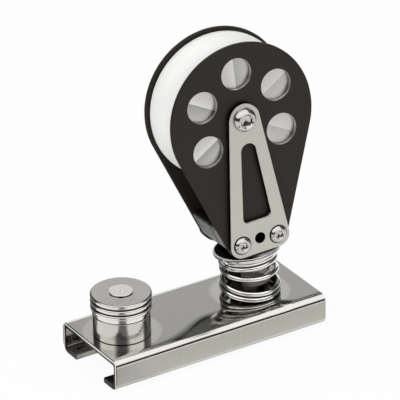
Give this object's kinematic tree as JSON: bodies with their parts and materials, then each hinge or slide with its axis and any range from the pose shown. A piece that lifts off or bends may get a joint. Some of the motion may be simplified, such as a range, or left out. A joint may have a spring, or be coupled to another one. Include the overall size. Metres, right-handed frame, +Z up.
{
  "type": "track car with stand-up block",
  "caption": "Folded steel car that slides on a T-shaped track, with a pull-up plunger stop and a ball-bearing rope block that swivels and stands up on a coil spring.",
  "frame": {"origin": "on the face that rides on top of the track (the underside of the car's top plate), in the middle of the car's length and width", "axes": "+X along the track towards the block, +Y across the track, +Z up from the riding face"},
  "size_m": [0.0975, 0.0428, 0.1179],
  "materials": {
    "polished_steel": "polished",
    "satin_steel": "satin",
    "spring_steel": "polished wire",
    "screw_steel": "satin",
    "bearing_steel": "polished",
    "bare_aluminium": "satin",
    "black_aluminium": "satin black anodised",
    "white_plastic": "smooth turned"
  },
  "bodies": {
    "car": {"slider_body": "polished_steel", "plunger_housing": "satin_steel", "plunger_spring": "spring_steel", "base_clevis": "satin_steel", "toggle_pin": "satin_steel", "stand_up_spring": "spring_steel"},
    "plunger": {"plunger_knob": "satin_steel", "plunger_pin": "satin_steel"},
    "toggle": {"toggle_block": "satin_steel"},
    "stem": {"swivel_stem": "polished_steel", "fork_pins": "satin_steel", "spring_washer": "polished_steel", "stem_nut": "satin_steel"},
    "block": {"head_block": "bare_aluminium", "front_cheek": "black_aluminium", "rear_cheek": "black_aluminium", "front_strap": "satin_steel", "rear_strap": "satin_steel", "axle": "satin_steel", "inner_race": "bearing_steel", "bearing_balls": "bearing_steel", "axle_screw_front": "screw_steel", "axle_screw_rear": "screw_steel", "front_head_screws": "screw_steel", "rear_head_screws": "screw_steel"},
    "sheave": {"sheave": "white_plastic", "sheave_plate_front": "satin_steel", "sheave_plate_rear": "satin_steel"}
  },
  "joints": [
    {"name": "plunger_pull", "type": "slide", "parent": "car", "child": "plunger", "axis": [0, 0, 1], "range_m": [0, 0.0045], "stiffness_N_per_m": 400, "springref_m": -0.005, "deforming": ["plunger_spring"]},
    {"name": "tilt_athwart", "type": "hinge", "parent": "car", "child": "toggle", "pos_m": [0.0248, 0, 0.0102], "axis": [1, 0, 0], "range_deg": [-8.65, 21.35], "stiffness_Nm_per_rad": 2, "springref_deg": 0.28, "deforming": ["stand_up_spring"]},
    {"name": "tilt_fore_aft", "type": "hinge", "parent": "toggle", "child": "stem", "pos_m": [0.0248, 0, 0.0102], "axis": [0, 0.9939, -0.1106], "range_deg": [-11.6, 18.4], "stiffness_Nm_per_rad": 2, "springref_deg": 0.15, "deforming": ["stand_up_spring"]},
    {"name": "block_swivel", "type": "hinge", "parent": "stem", "child": "block", "pos_m": [0.0248, 0, 0.0102], "axis": [-0.0593, 0.1104, 0.9921], "continuous": true},
    {"name": "sheave_spin", "type": "hinge", "parent": "block", "child": "sheave", "pos_m": [0.02082, 0.00741, 0.07682], "axis": [0.0809, 0.9911, -0.1055], "continuous": true}
  ]
}
